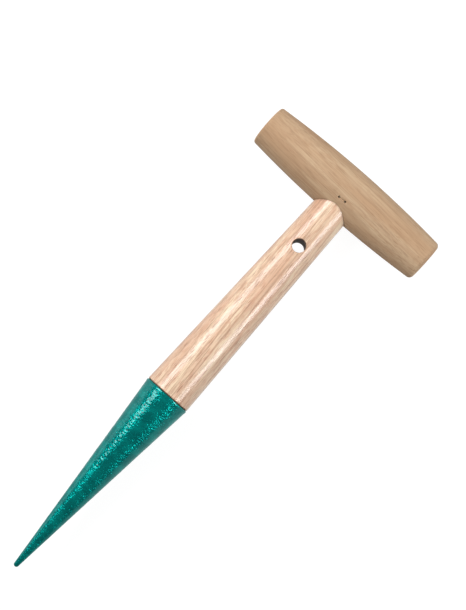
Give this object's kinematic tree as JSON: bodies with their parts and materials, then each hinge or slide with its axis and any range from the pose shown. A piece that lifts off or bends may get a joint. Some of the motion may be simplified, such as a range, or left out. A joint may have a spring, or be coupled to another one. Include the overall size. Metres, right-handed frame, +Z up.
{
  "type": "garden dibber",
  "caption": "Hand dibber lying flat: turned wooden crosspiece on a tapered round shaft with a hanging hole, shod with a hollow conical steel point.",
  "frame": {"origin": "on the surface the dibber lies on, under the middle of its length and of its crosspiece", "axes": "+Y along the shaft from the point to the crosspiece, +X along the crosspiece, +Z up and along the hanging hole"},
  "size_m": [0.1124, 0.2799, 0.0288],
  "materials": {
    "bare_wood": "turned and sanded, unvarnished",
    "lacquered_wood": "clear gloss lacquer",
    "green_enamel": "gloss enamel with a fine hammered ripple",
    "staple_steel": "drawn wire, dulled",
    "nail_steel": "bright wire nail"
  },
  "bodies": {
    "root": {"handle": "bare_wood", "shaft": "lacquered_wood", "steel_point": "green_enamel", "joint_staple": "staple_steel", "point_nail": "nail_steel"}
  },
  "joints": []
}
